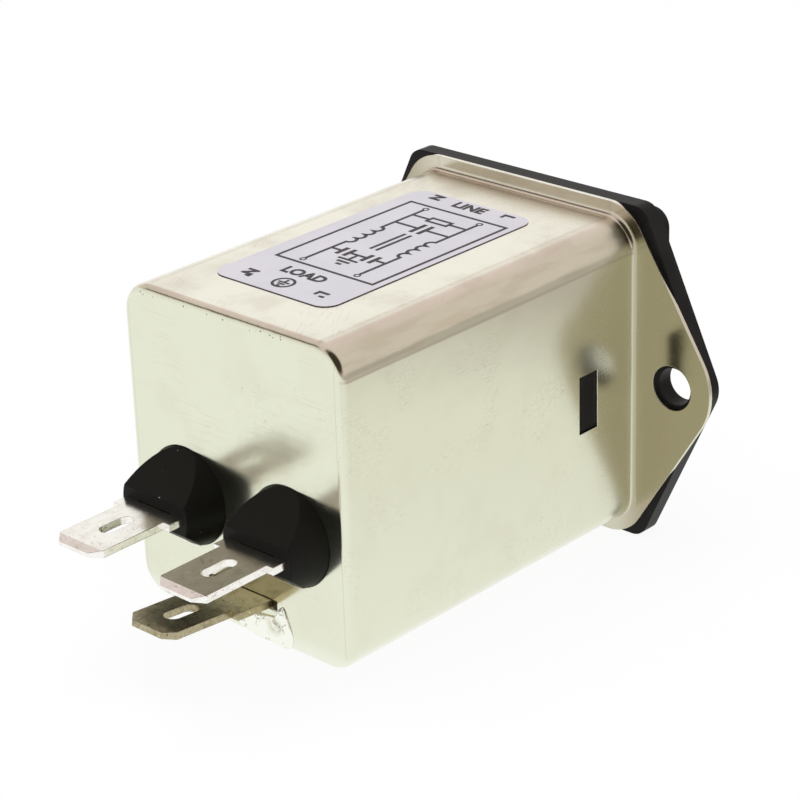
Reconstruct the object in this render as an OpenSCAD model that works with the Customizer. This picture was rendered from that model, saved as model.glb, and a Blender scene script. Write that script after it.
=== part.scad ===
// Panel-mounted C14 appliance inlet with a built-in mains EMI filter.
// Origin: centre of the panel seat, the rear face of the steel flange.
// X runs along the line of the two screws, +Z is up to the rating label,
// -Y is the side of the mains cord and +Y the side of the output tabs.

/* [Drawn housing] */
// Width of the can, along the line of the screws
body_w = 29.9; // [29.3:0.1:33]
// Height of the can
body_h = 34.3; // [33:0.1:38]
// Depth of the can behind the panel seat
body_d = 43.4; // [42:0.1:52]
// Thickness of the steel sheet
sheet_t = 0.5; // [0.4:0.05:0.7]
// Outside radius of the four long edges
long_edge_r = 3.4; // [2.6:0.1:4.2]
// Outside radius of the bend round the end wall
end_edge_r = 0.95; // [0.85:0.05:1.4]
// Outside radius of the bend from the can into its flange
root_r = 0.6; // [0.4:0.05:1.2]
// Least width of the flat rim that stays round that bend
rim_w = 0.5; // [0.3:0.1:0.9]

/* [Steel flange] */
// Width of the flange, from ear tip to ear tip
flange_w = 49.6; // [48.5:0.1:52]
// Height of the flange
flange_h = 37.5; // [36.8:0.1:42]
// Radius of the ear round each screw hole
ear_r = 6.8; // [5.5:0.1:7.5]
// Distance between the two upper shoulders, at their arc centres
shoulder_w = 23.3; // [22:0.1:26]
// Radius of the four shoulders
shoulder_r = 4.8; // [3.5:0.1:5.5]
// Distance between the two screw holes
hole_pitch = 40; // [39.8:0.1:40.2]
// Diameter of the clearance hole in the steel ear
steel_hole_d = 4.9; // [4.3:0.1:5.2]

/* [Latch windows] */
// Length of each window along the can
window_l = 2.9; // [2.4:0.1:3.6]
// Height of each window
window_h = 6.4; // [5:0.1:8]
// Distance from the panel seat to the middle of a window
window_y = 7.4; // [6.5:0.1:9]
// Height of the window above the screw line
window_z = -0.4; // [-1.5:0.1:1.5]

/* [Inlet moulding] */
// Thickness of the moulded flange plate
plate_t = 2; // [1.6:0.1:3]
// Step from the tip of a steel ear to the tip of the moulded one
plate_inset_w = 0.6; // [0.2:0.1:1]
// Step from the edge of the steel flange to the plate, above and below
plate_inset_h = 0.05; // [0:0.05:0.3]
// Radius of the moulded ear
plate_ear_r = 3.5; // [3:0.1:5]
// Distance between the upper shoulders of the plate, at their arc centres
plate_shoulder_w = 29.1; // [28:0.1:31]
// Radius of the shoulders of the plate
plate_shoulder_r = 2; // [1.5:0.1:3]
// Diameter of the screw hole in the plate
screw_hole_d = 4.1; // [3.5:0.1:4.3]
// Height of the raised collar in front of the plate
collar_t = 1.9; // [1:0.1:2.5]
// Width of the raised collar
collar_w = 32.3; // [30:0.1:33.4]
// Height of the raised collar
collar_h = 35; // [24:0.1:36]
// Corner radius of the raised collar
collar_r = 2; // [1:0.1:5]
// Width of the opening for the connector
cavity_w = 24.4; // [24.2:0.1:24.8]
// Height of the opening for the connector
cavity_h = 16.8; // [16.4:0.1:17.2]
// Depth of the opening for the connector
cavity_d = 16.6; // [16:0.1:17]
// Length of the two keying chamfers
cavity_chamfer = 5; // [4:0.1:6]
// Small radius in the corners of the opening
cavity_r = 0.6; // [0.4:0.1:1]
// Wall round the connector opening
shell_t = 1.3; // [1:0.1:1.4]
// Floor of the connector opening, which holds the pins
floor_t = 3; // [2:0.1:4]
// Depth of the skirt that locates the moulding in the can
skirt_d = 4.6; // [3:0.1:5]
// Wall of the skirt
skirt_t = 1.2; // [0.8:0.1:1.6]
// Length of the bevel on the rear edge of each latch nose
latch_bevel = 0.5; // [0.2:0.1:0.8]
// Distance of the latch nose below the surface of the can
latch_flush = 0.2; // [0.1:0.05:0.5]
// Diameter of the posts that carry the circuit board
post_d = 3.6; // [3:0.1:4]
// Depth to which a post merges with the skirt
post_merge = 0.5; // [0.3:0.1:0.8]
// Diameter of the peg on each post
peg_d = 1.8; // [1.4:0.1:2.2]
// Diameter of the head formed on each peg
peg_head_d = 3; // [2.6:0.1:3.4]
// Height of the head formed on each peg
peg_head_t = 0.7; // [0.5:0.1:1]

/* [Pins] */
// Distance between the line and the neutral pin
pin_pitch = 14; // [13.9:0.05:14.1]
// Step between the earth pin and the other two
earth_offset = 4; // [3.9:0.05:4.1]
// Height of a pin blade
pin_h = 4; // [3.9:0.05:4.1]
// Thickness of a pin blade
pin_t = 2; // [1.9:0.05:2.1]
// Distance from the collar to the tip of the line and neutral pins
pin_recess = 3.4; // [2.5:0.1:4.5]
// Distance from the collar to the tip of the earth pin
earth_recess = 1.2; // [0.8:0.1:2]
// Length of the taper at the tip of a pin
pin_taper = 1; // [0.6:0.1:1.5]
// Width of the solder tail of a pin
pin_tail = 1.2; // [1:0.1:1.6]

/* [Circuit board] */
// Thickness of the board
board_t = 1.6; // [1:0.1:2]
// Room between the floor of the inlet and the board
board_gap = 2; // [1.5:0.1:3]
// Length of each solder end past the board
solder_end = 0.9; // [0.6:0.1:1]

/* [Common-mode choke] */
// Outside diameter of the ring core
core_od = 17; // [16:0.1:17.6]
// Inside diameter of the ring core
core_id = 9.6; // [9:0.1:10]
// Height of the ring core
core_h = 8; // [6:0.1:9]
// Radius of the edges of the ring core
core_edge_r = 0.7; // [0.5:0.1:1]
// Height of the choke centre above the screw line
choke_z = 5.2; // [4.8:0.1:5.6]
// Diameter of the enamelled wire
wire_d = 1; // [0.8:0.05:1.1]
// Gap between the wire and the core
wire_gap = 0.3; // [0.2:0.05:0.4]
// Turns on each winding, with the half turn that brings the end inside
turns = 6.5; // [3.5:1:6.5]
// Angle between two turns, in degrees
turn_pitch = 20; // [18:0.5:21]
// Thickness of the base plate under the choke
choke_base_t = 1.2; // [0.8:0.1:1.6]
// Height of the feet under the base plate
choke_foot_h = 1.2; // [1.1:0.1:1.6]
// Diameter of the feet under the base plate
choke_foot_d = 2; // [1.6:0.1:2.4]
// Distance of the feet from the rim of the base plate
choke_foot_inset = 0.4; // [0.2:0.1:1]
// Width of the two rests that carry the core
choke_rest_w = 2; // [1.6:0.1:2.4]
// Thickness of the plate between the two windings
divider_t = 1.2; // [0.8:0.1:1.6]
// Height by which it stands above the core
divider_proud = 1; // [0.5:0.1:2]

/* [Capacitors and resistor] */
// Width of the film capacitor
xcap_w = 17.4; // [16:0.1:17.6]
// Thickness of the film capacitor
xcap_t = 5.4; // [4:0.1:5.6]
// Height of the film capacitor above the board
xcap_h = 11; // [9:0.1:13]
// Room between the film capacitor and the liner below it
xcap_room = 0.6; // [0.4:0.1:0.8]
// Radius of the film capacitor's edges
xcap_r = 0.6; // [0.4:0.1:1]
// Distance between the leads of the film capacitor
xcap_pitch = 15; // [14:0.1:15.4]
// Diameter of a ceramic disc capacitor
ycap_d = 7; // [6:0.1:7.4]
// Thickness of a ceramic disc capacitor
ycap_t = 3; // [2:0.1:3.4]
// Distance between the leads of a disc capacitor
ycap_pitch = 5; // [4:0.1:5.4]
// Room between a disc capacitor and the liner beside it
ycap_room = 0.8; // [0.6:0.1:1]
// Gap between the film capacitor and a disc capacitor
ycap_gap = 0.8; // [0.4:0.1:1.2]
// Height of a disc capacitor above the board
ycap_lift = 0.6; // [0.4:0.1:1.5]
// Diameter of the component leads
lead_d = 0.7; // [0.5:0.05:0.8]
// Diameter of the discharge resistor
resistor_d = 2.4; // [1.8:0.1:2.6]
// Length of the discharge resistor
resistor_l = 6.4; // [5:0.1:8]
// Distance of the discharge resistor from the middle
resistor_x = 3.6; // [3.2:0.1:4]
// Gap between the film capacitor and the discharge resistor
resistor_gap = 1.5; // [1:0.1:1.8]
// Distance between the two leads of the resistor
resistor_pitch = 2.5; // [2.3:0.1:3]
// Height of the resistor above the board
resistor_lift = 1; // [0.5:0.1:2]

/* [Output terminals] */
// Distance between the line and the neutral tab
tab_pitch = 14.3; // [14:0.1:14.6]
// Height of both tabs above the screw line
tab_z = -4.15; // [-4.6:0.05:-3.8]
// Diameter of each insulator
insulator_d = 10.5; // [9.6:0.1:11]
// Diameter of the collar that holds it inside the can
insulator_flange_d = 12.4; // [11.8:0.1:12.8]
// Thickness of that collar
insulator_flange_t = 1.4; // [1:0.1:2]
// Length of the insulator outside the can
nose_l = 4.5; // [4:0.1:6]
// Diameter of the tapered nose at its front
nose_tip_d = 9.2; // [8.4:0.1:9.6]
// Height of the blunt front, between the two sloping flats
nose_h = 3.2; // [2:0.1:4]
// Width of a quick-connect blade
tab_w = 6.3; // [6:0.1:6.5]
// Thickness of a quick-connect blade
tab_t = 0.8; // [0.7:0.05:0.85]
// Length of a blade in front of its shoulders
blade_l = 8.8; // [7.4:0.1:9.2]
// Width over the shoulders of a blade
tab_shoulder_w = 8; // [7:0.1:8.4]
// Length of the shoulders of a blade
tab_shoulder_l = 1.8; // [0.6:0.1:2.4]
// Size of the corners cut off at the tip
tip_corner = 1.1; // [0.6:0.1:1.5]
// Length of the bevel across the tip
tip_bevel = 1; // [0.6:0.1:1.4]
// Thickness of the tip in front of the bevel
tip_t = 0.4; // [0.3:0.05:0.6]
// Length of the detent slot
slot_l = 4.1; // [3.4:0.1:4.6]
// Width of the detent slot
slot_w = 1.7; // [1.5:0.1:1.9]
// Distance from the tip to the detent slot
slot_inset = 3.6; // [2.8:0.1:4]
// Width of the stem inside the can
stem_w = 4.6; // [3.5:0.1:5.5]
// Length of the stem behind the insulator's collar
stem_l = 4.6; // [3.5:0.1:6]
// Diameter of the insulated lead to each stem
lead_wire_d = 2.1; // [1.8:0.1:2.3]
// Diameter of the conductor in it
conductor_d = 1.2; // [0.9:0.1:1.4]
// Bare length of the conductor at the stem and at the board
strip_l = 0.6; // [0.4:0.1:1]

/* [Earth terminal] */
// Position of the earth tab along the screw line
earth_tab_x = 0; // [-1:0.1:1]
// Room between the foot of the earth tab and the bottom of the can
earth_foot_room = 0.75; // [0.45:0.05:1.2]
// Angle by which the earth tab rises towards its tip
earth_tilt = 5; // [0:0.5:6]
// Width of the root of the earth tab
earth_root_w = 8.3; // [7.4:0.1:9]
// Length of the root of the earth tab outside the can
earth_root_l = 4.7; // [3:0.1:5.5]
// Length of the earth tab in front of its root
earth_blade_l = 8.2; // [7.4:0.1:9]
// Thickness of the tip of the earth tab
earth_tip_t = 0.65; // [0.4:0.05:0.7]
// Width of the detent slot in the earth tab
earth_slot_w = 1.9; // [1.6:0.1:2.1]
// Distance from the tip of the earth tab to its detent slot
earth_slot_inset = 2.5; // [2.2:0.1:3.2]
// Length of the foot that is welded inside the end wall
earth_foot_l = 3; // [2.4:0.1:3.2]
// Spare height of the slot in the end wall
end_slot_play = 0.4; // [0.3:0.05:0.6]
// Inside radius of the bend at the foot
earth_bend_r = 0.3; // [0.2:0.05:0.5]
// Width of the strap from the board to the foot
strap_w = 3; // [2:0.1:4]
// Thickness of the strap
strap_t = 0.5; // [0.3:0.05:0.6]
// Gap between the film capacitor and the strap
strap_gap = 1.25; // [0.8:0.05:1.6]
// Width of the solder run on the end wall
solder_w = 7; // [5:0.1:8]
// Height of the solder run
solder_h = 2.6; // [2:0.1:3]
// Thickness of the solder at its middle
solder_t = 0.45; // [0.3:0.05:0.6]
// Position of the solder run along the screw line
solder_x = -3.3; // [-4.5:0.1:-2]
// Distance from the earth tab down to the middle of the solder run
solder_drop = 3.3; // [2.8:0.1:3.5]

/* [Rating label and liner] */
// Width of the rating label
label_w = 16; // [12:0.1:18]
// Length of the rating label along the can
label_l = 30.8; // [24:0.1:32]
// Corner radius of the rating label
label_r = 1.8; // [1:0.1:3]
// Thickness of the rating label
label_t = 0.1; // [0.08:0.01:0.2]
// Distance of the label's middle from the middle of the can
label_x = 1.1; // [-2:0.1:2]
// Distance of the label's middle from the panel seat
label_y = 21.4; // [20:0.1:24]
// Thickness of the insulating liner
liner_t = 0.25; // [0.15:0.05:0.3]
// Length of the liner in front of the board
liner_lap = 0.8; // [0.4:0.1:1.5]
// Distance from the liner to the end wall
liner_short = 0.6; // [0.4:0.1:1.5]

/* [Clearances] */
// Clearance between moulded and pressed parts that slide together
fit_gap = 0.05; // [0.02:0.01:0.1]
// Clearance round a wire in its hole
hole_gap = 0.1; // [0.05:0.01:0.15]
// Clearance between the liner and the can
liner_gap = 0.1; // [0.05:0.01:0.2]

/* [Hidden] */

$fn = 64;

// Line parts are on the -X side, neutral parts on the +X side
LINE = -1;
NEUTRAL = 1;

// Inside of the can
inner_w = body_w - 2 * sheet_t;
inner_h = body_h - 2 * sheet_t;
inner_edge_r = long_edge_r - sheet_t;
end_inner_y = body_d - sheet_t;

// Overshoot of a cut past the face that it opens
cut_over = 1;

// Moulded flange plate
plate_w = flange_w - 2 * plate_inset_w;
plate_h = flange_h - 2 * plate_inset_h;

// Part of the moulding that slides into the can
skirt_w = inner_w - 2 * fit_gap;
skirt_h = inner_h - 2 * fit_gap;
skirt_r = inner_edge_r - fit_gap;

// Distance from the inside of the can to what stands inside the liner
liner_edge = liner_gap + liner_t + fit_gap;

// Stations along Y, from the collar in front to the board
plate_front_y = -sheet_t - plate_t;
collar_y = plate_front_y - collar_t;
cavity_floor_y = collar_y + cavity_d;
inlet_rear_y = cavity_floor_y + floor_t;
board_y = inlet_rear_y + board_gap;
board_rear_y = board_y + board_t;
solder_end_y = board_y - solder_end;

// The earth pin stands below the other two, on the chamfered side
live_pin_z = earth_offset / 2;
earth_pin_z = -earth_offset / 2;

// Posts stand in the corners between the skirt and the shell
post_x = inner_w / 2 - fit_gap - skirt_t - post_d / 2 + post_merge;
post_z = inner_h / 2 - fit_gap - skirt_t - post_d / 2 + post_merge;

// Capacitors and resistor
xcap_z = liner_gap + liner_t + xcap_room + xcap_t / 2 - inner_h / 2;
xcap_top_z = xcap_z + xcap_t / 2;
ycap_x = inner_w / 2 - liner_gap - liner_t - ycap_room - ycap_t / 2;
ycap_z = xcap_top_z + ycap_gap + ycap_d / 2;
resistor_z = xcap_top_z + resistor_gap + resistor_d / 2;
strap_z = xcap_top_z + strap_gap + strap_t / 2;

// Common-mode choke
core_mid_r = (core_od + core_id) / 4;
section_a = (core_od - core_id) / 4 + wire_d / 2 + wire_gap;
section_b = core_h / 2 + wire_d / 2 + wire_gap;
choke_plate_y = board_rear_y + choke_foot_h;
core_rest_y = choke_plate_y + choke_base_t;
core_y = core_rest_y + section_b + wire_d / 2 + fit_gap;
wire_outer_r = core_mid_r + section_a;
choke_plate_d = 2 * (wire_outer_r - wire_d / 2 - hole_gap);
wire_sides = 8;
steps_per_turn = 16;

// Output terminals
stem_y = end_inner_y - insulator_flange_t - stem_l;
nose_y = body_d + nose_l;
tab_tip_y = nose_y + tab_shoulder_l + blade_l;
lead_z = tab_z + tab_t / 2 + conductor_d / 2 + fit_gap;
earth_foot_y = end_inner_y - tab_t;
earth_foot_z = earth_foot_room - inner_h / 2;
earth_tab_z = earth_foot_z + earth_foot_l + tab_t;
end_slot_h = tab_t + end_slot_play;
solder_z = earth_tab_z - solder_drop;

// ---------- Shared shapes ----------

// Extrudes an XZ outline from y0 to y1
module along_y(y0, y1) {
    translate([0, y1, 0]) rotate([90, 0, 0]) linear_extrude(y1 - y0) children();
}

// Extrudes a YZ outline over a width centred on X = 0
module across_x(w) {
    rotate([90, 0, 90]) linear_extrude(w, center = true) children();
}

// Round rod along Y
module rod_y(d, y0, y1, x = 0, z = 0) {
    translate([x, y0, z]) rotate([-90, 0, 0]) cylinder(d = d, h = y1 - y0);
}

// Rectangle with round corners
module rounded_rect(w, h, r) {
    square([w - 2 * r, h], center = true);
    square([w, h - 2 * r], center = true);
    for (x = [-1, 1], z = [-1, 1]) {
        translate([x * (w / 2 - r), z * (h / 2 - r)]) circle(r);
    }
}

// Flat ring
module ring_2d(outer_r, inner_r) {
    difference() {
        circle(outer_r);
        circle(inner_r);
    }
}

// Direction in which the common tangent of circles a and b lies outside them;
// each circle is [x, z, radius] and b follows a anticlockwise
function tangent_side(a, b) =
    let (step = [b[0] - a[0], b[1] - a[1]])
    let (u = step / norm(step), lean = (a[2] - b[2]) / norm(step))
    lean * u + sqrt(1 - lean * lean) * [u[1], -u[0]];

function tangent_ends(a, b) =
    let (side = tangent_side(a, b))
    [[a[0], a[1]] + a[2] * side, [b[0], b[1]] + b[2] * side];

// Convex plate with a round corner at each circle
module belt(circles) {
    count = len(circles);
    polygon([for (i = [0 : count - 1]) each tangent_ends(circles[i], circles[(i + 1) % count])]);
    for (c = circles) {
        translate([c[0], c[1]]) circle(c[2]);
    }
}

// Corner circles of a six-sided flange with a round ear on each side
function flange_circles(w, h, tip_r, shoulders_w, corner_r) =
    let (ear = w / 2 - tip_r, x = shoulders_w / 2, z = h / 2 - corner_r)
    [
        [ear, 0, tip_r], [x, z, corner_r], [-x, z, corner_r],
        [-ear, 0, tip_r], [-x, -z, corner_r], [x, -z, corner_r]
    ];

// Corner circles of the connector opening, grown outwards by a wall
function cavity_circles(wall) =
    let (x = cavity_w / 2 - cavity_r, z = cavity_h / 2 - cavity_r)
    let (cut = cavity_chamfer, r = cavity_r + wall)
    [
        [x, cut - z, r], [x, z, r], [-x, z, r],
        [-x, cut - z, r], [cut - x, -z, r], [x - cut, -z, r]
    ];

// ---------- Drawn steel housing ----------

// Outline of the can, grown outwards by a distance
module can_outline(growth) {
    rounded_rect(body_w + 2 * growth, body_h + 2 * growth, long_edge_r + growth);
}

// Section through the sheet, from the flange bend to the end wall bend.
// X is the distance outside the can and Y is the depth behind the seat.
module wall_section() {
    translate([-sheet_t, root_r]) square([sheet_t, body_d - end_edge_r - root_r]);
    intersection() {
        translate([-end_edge_r, body_d - end_edge_r]) ring_2d(end_edge_r, end_edge_r - sheet_t);
        translate([-end_edge_r, body_d - end_edge_r]) square(end_edge_r);
    }
    intersection() {
        translate([root_r, root_r]) ring_2d(root_r + sheet_t, root_r);
        translate([-sheet_t, -sheet_t]) square(root_r + sheet_t);
    }
}

// The sheet along one straight side of the can
module straight_wall(span) {
    translate([-span / 2, 0, 0]) rotate([90, 0, 90]) linear_extrude(span) wall_section();
}

// The sheet round one long edge of the can
module long_edge() {
    rotate_extrude(angle = 90) translate([long_edge_r, 0]) wall_section();
}

// The deep-drawn cup with its flange, drawn along +Z
module drawn_cup() {
    flat_w = body_w - 2 * long_edge_r;
    flat_h = body_h - 2 * long_edge_r;
    for (sx = [0, 1], sy = [0, 1]) {
        mirror([sx, 0, 0]) mirror([0, sy, 0]) translate([flat_w / 2, flat_h / 2, 0]) long_edge();
    }
    for (sy = [0, 1]) {
        mirror([0, sy, 0]) translate([0, body_h / 2, 0]) straight_wall(flat_w);
    }
    for (turn = [-90, 90]) {
        rotate(turn) translate([0, body_w / 2, 0]) straight_wall(flat_h);
    }
    translate([0, 0, end_inner_y]) linear_extrude(sheet_t) {
        rounded_rect(body_w - 2 * end_edge_r, body_h - 2 * end_edge_r, long_edge_r - end_edge_r);
    }
    translate([0, 0, -sheet_t]) linear_extrude(sheet_t) difference() {
        union() {
            belt(flange_circles(flange_w, flange_h, ear_r, shoulder_w, shoulder_r));
            can_outline(root_r + rim_w);
        }
        can_outline(root_r);
    }
}

module metal_housing() {
    color("#c9c6ae") difference() {
        rotate([-90, 0, 0]) drawn_cup();
        for (side = [LINE, NEUTRAL]) {
            rod_y(steel_hole_d, -sheet_t - cut_over, cut_over, side * hole_pitch / 2);
            rod_y(
                insulator_d + 2 * fit_gap, end_inner_y - cut_over, body_d + cut_over,
                side * tab_pitch / 2, tab_z
            );
            translate([side * body_w / 2, window_y, window_z]) {
                cube([4 * sheet_t, window_l, window_h], center = true);
            }
        }
        translate([earth_tab_x, body_d - sheet_t / 2, earth_tab_z + fit_gap - end_slot_h / 2]) {
            cube([earth_root_w + 2 * fit_gap, 3 * sheet_t, end_slot_h], center = true);
        }
    }
}

// ---------- Inlet moulding ----------

// Snap nose that fills one window of the can
module latch(side) {
    pad_x = cavity_w / 2 + shell_t / 2;
    wall_x = inner_w / 2 - fit_gap;
    nose_x = body_w / 2 - latch_flush;
    rear = window_y + window_l / 2 - fit_gap;
    front = window_y - window_l / 2 + fit_gap;
    h = window_h - 2 * fit_gap;
    mirror([side == LINE ? 1 : 0, 0, 0]) translate([0, 0, window_z - h / 2]) linear_extrude(h) {
        translate([pad_x, -sheet_t]) square([wall_x - pad_x, rear + sheet_t]);
        polygon([
            [pad_x, front], [nose_x, front], [nose_x, rear - latch_bevel],
            [wall_x, rear], [pad_x, rear]
        ]);
    }
}

// Post for the circuit board with its heat-formed head
module board_post(x, z) {
    rod_y(post_d, -sheet_t, board_y, x, z);
    rod_y(peg_d, board_y, board_rear_y, x, z);
    rod_y(peg_head_d, board_rear_y, board_rear_y + peg_head_t, x, z);
}

module pin_slot(x, z) {
    translate([x, inlet_rear_y, z]) cube([pin_t, 4 * floor_t, pin_h], center = true);
}

module inlet_moulding() {
    skirt_y = skirt_d - sheet_t;
    color("#1d1d1c") difference() {
        union() {
            along_y(plate_front_y, -sheet_t) {
                belt(flange_circles(plate_w, plate_h, plate_ear_r, plate_shoulder_w, plate_shoulder_r));
            }
            along_y(collar_y, plate_front_y) rounded_rect(collar_w, collar_h, collar_r);
            along_y(-sheet_t, skirt_y) difference() {
                rounded_rect(skirt_w, skirt_h, skirt_r);
                rounded_rect(skirt_w - 2 * skirt_t, skirt_h - 2 * skirt_t, skirt_r - skirt_t);
            }
            along_y(-sheet_t, skirt_y) {
                for (x = [-cavity_w / 4, 0, cavity_w / 4]) {
                    translate([x, 0]) square([skirt_t, skirt_h - skirt_t], center = true);
                }
            }
            along_y(-sheet_t, inlet_rear_y) intersection() {
                belt(cavity_circles(shell_t));
                rounded_rect(skirt_w, skirt_h, skirt_r);
            }
            for (x = [-post_x, post_x], z = [-post_z, post_z]) {
                board_post(x, z);
            }
            latch(LINE);
            latch(NEUTRAL);
        }
        along_y(collar_y - cut_over, cavity_floor_y) belt(cavity_circles(0));
        pin_slot(-pin_pitch / 2, live_pin_z);
        pin_slot(pin_pitch / 2, live_pin_z);
        pin_slot(0, earth_pin_z);
        for (side = [LINE, NEUTRAL]) {
            rod_y(screw_hole_d, plate_front_y - cut_over, 0, side * hole_pitch / 2);
        }
    }
}

// ---------- Contact pins ----------

// Outline of a blade of thickness w along Y, tapered at its front end
module blade_outline(w, tip_y, end_y) {
    tip = w / 2 - pin_taper / 4;
    polygon([
        [-tip, tip_y], [tip, tip_y], [w / 2, tip_y + pin_taper],
        [w / 2, end_y], [-w / 2, end_y], [-w / 2, tip_y + pin_taper]
    ]);
}

module contact_pin(x, z, recess) {
    tip_y = collar_y + recess;
    color("#c8b273") translate([x, 0, z]) {
        intersection() {
            linear_extrude(pin_h, center = true) blade_outline(pin_t, tip_y, inlet_rear_y);
            rotate([0, 90, 0]) linear_extrude(pin_t, center = true) {
                blade_outline(pin_h, tip_y, inlet_rear_y);
            }
        }
        along_y(inlet_rear_y, board_rear_y + solder_end) square(pin_tail, center = true);
    }
}

module line_pin() {
    contact_pin(LINE * pin_pitch / 2, live_pin_z, pin_recess);
}

module neutral_pin() {
    contact_pin(NEUTRAL * pin_pitch / 2, live_pin_z, pin_recess);
}

module earth_pin() {
    contact_pin(0, earth_pin_z, earth_recess);
}

// ---------- Circuit board ----------

// Outline of what fits inside the liner
module inside_liner() {
    rounded_rect(inner_w - 2 * liner_edge, inner_h - 2 * liner_edge, inner_edge_r - liner_edge);
}

module board_hole(d, x, z) {
    rod_y(d + 2 * hole_gap, board_y - cut_over, board_rear_y + cut_over, x, z);
}

module board_slot(w, h, x, z) {
    translate([x, board_y + board_t / 2, z]) {
        cube([w + 2 * hole_gap, 2 * board_t, h + 2 * hole_gap], center = true);
    }
}

module circuit_board() {
    color("#3f6b3c") difference() {
        along_y(board_y, board_rear_y) inside_liner();
        for (x = [-post_x, post_x], z = [-post_z, post_z]) {
            board_hole(peg_d, x, z);
        }
        board_slot(pin_tail, pin_tail, 0, earth_pin_z);
        board_slot(strap_w, strap_t, earth_tab_x, strap_z);
        for (side = [LINE, NEUTRAL]) {
            board_slot(pin_tail, pin_tail, side * pin_pitch / 2, live_pin_z);
            board_hole(conductor_d, side * tab_pitch / 2, lead_z);
            board_hole(lead_d, side * xcap_pitch / 2, xcap_z);
            board_hole(lead_d, side * ycap_x, ycap_z - ycap_pitch / 2);
            board_hole(lead_d, side * ycap_x, ycap_z + ycap_pitch / 2);
            for (t = [0, turns]) {
                p = winding_point(side, t);
                board_hole(wire_d, p[0], p[2]);
            }
        }
        board_hole(lead_d, resistor_x, resistor_z);
        board_hole(lead_d, resistor_x, resistor_z + resistor_pitch);
    }
}

// ---------- Common-mode choke ----------

module choke_base() {
    foot_r = (choke_plate_d - choke_foot_d) / 2 - choke_foot_inset;
    rest_y = core_y - core_h / 2;
    color("#2a2a2c") difference() {
        union() {
            rod_y(choke_plate_d, choke_plate_y, core_rest_y, 0, choke_z);
            for (a = [45 : 90 : 315]) {
                rod_y(
                    choke_foot_d, board_rear_y, choke_plate_y,
                    foot_r * cos(a), choke_z + foot_r * sin(a)
                );
            }
            for (side = [-1, 1]) {
                translate([0, (core_rest_y + rest_y) / 2, choke_z + side * core_mid_r]) {
                    cube([choke_rest_w, rest_y - core_rest_y, choke_rest_w], center = true);
                }
            }
        }
        for (side = [LINE, NEUTRAL]) {
            p = winding_point(side, turns);
            rod_y(
                wire_d + 2 * hole_gap, choke_plate_y - cut_over, core_rest_y + cut_over,
                p[0], p[2]
            );
        }
    }
}

module choke_core() {
    color("#4b5a52") translate([0, core_y - core_h / 2, choke_z]) rotate([-90, 0, 0]) {
        rotate_extrude() translate([core_mid_r, core_h / 2]) {
            rounded_rect((core_od - core_id) / 2, core_h, core_edge_r);
        }
    }
}

module choke_divider() {
    h = core_id - 2 * fit_gap;
    color("#2a2a2c") translate([-divider_t / 2, core_rest_y, choke_z - h / 2]) {
        cube([divider_t, core_y + core_h / 2 + divider_proud - core_rest_y, h]);
    }
}

// Square-shouldered curve: follows cos or sin but keeps close to the box
function squared(v) = sign(v) * sqrt(abs(v));

// Angle round the choke at turn t of a winding
function winding_angle(side, t) = (side == LINE ? 180 : 0) + turn_pitch * (t - turns / 2);

// Point on the wire's middle line at turn t, starting outside the core
function winding_point(side, t) =
    let (r = core_mid_r + section_a * squared(cos(360 * t)), a = winding_angle(side, t))
    [r * cos(a), core_y + section_b * squared(sin(360 * t)), choke_z + r * sin(a)];

// Direction from the middle of the core's section towards the wire
function winding_outward(side, t) =
    let (a = winding_angle(side, t))
    [cos(360 * t) * cos(a), sin(360 * t), cos(360 * t) * sin(a)];

function lead_foot(p) = [p[0], solder_end_y, p[2]];

function unit(v) = v / norm(v);

// Ring of points round p, square to the tangent
function wire_ring(p, tangent, outward) =
    let (b = unit(cross(tangent, outward)), n = cross(b, tangent))
    [
        for (k = [0 : wire_sides - 1])
        let (a = 360 * k / wire_sides)
        p + wire_d / 2 * (cos(a) * n + sin(a) * b)
    ];

// Tube along the points, with one outward direction for each point
module wire_tube(points, outwards) {
    last = len(points) - 1;
    rings = [
        for (i = [0 : last])
        wire_ring(points[i], unit(points[min(i + 1, last)] - points[max(i - 1, 0)]), outwards[i])
    ];
    polyhedron(
        points = [for (ring = rings) each ring],
        faces = [
            [for (k = [0 : wire_sides - 1]) k],
            [for (k = [wire_sides - 1 : -1 : 0]) last * wire_sides + k],
            for (i = [0 : last - 1], k = [0 : wire_sides - 1])
            let (a = i * wire_sides, b = a + wire_sides, next = (k + 1) % wire_sides)
            [a + k, b + k, b + next, a + next]
        ]
    );
}

// One half of the bifilar choke, from its outer lead to its inner lead
module winding(side) {
    steps = [for (i = [0 : steps_per_turn * turns]) i / steps_per_turn];
    coil = [for (t = steps) winding_point(side, t)];
    outward = [for (t = steps) winding_outward(side, t)];
    color("#b4632c") wire_tube(
        concat([lead_foot(coil[0])], coil, [lead_foot(coil[len(coil) - 1])]),
        concat([outward[0]], outward, [outward[len(outward) - 1]])
    );
}

module line_winding() {
    winding(LINE);
}

module neutral_winding() {
    winding(NEUTRAL);
}

// ---------- Capacitors and resistor ----------

module x_capacitor() {
    color("#c7a53a") {
        translate([0, 0, xcap_z]) along_y(board_rear_y, board_rear_y + xcap_h) {
            rounded_rect(xcap_w, xcap_t, xcap_r);
        }
        for (side = [-1, 1]) {
            rod_y(lead_d, solder_end_y, board_rear_y, side * xcap_pitch / 2, xcap_z);
        }
    }
}

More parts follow.
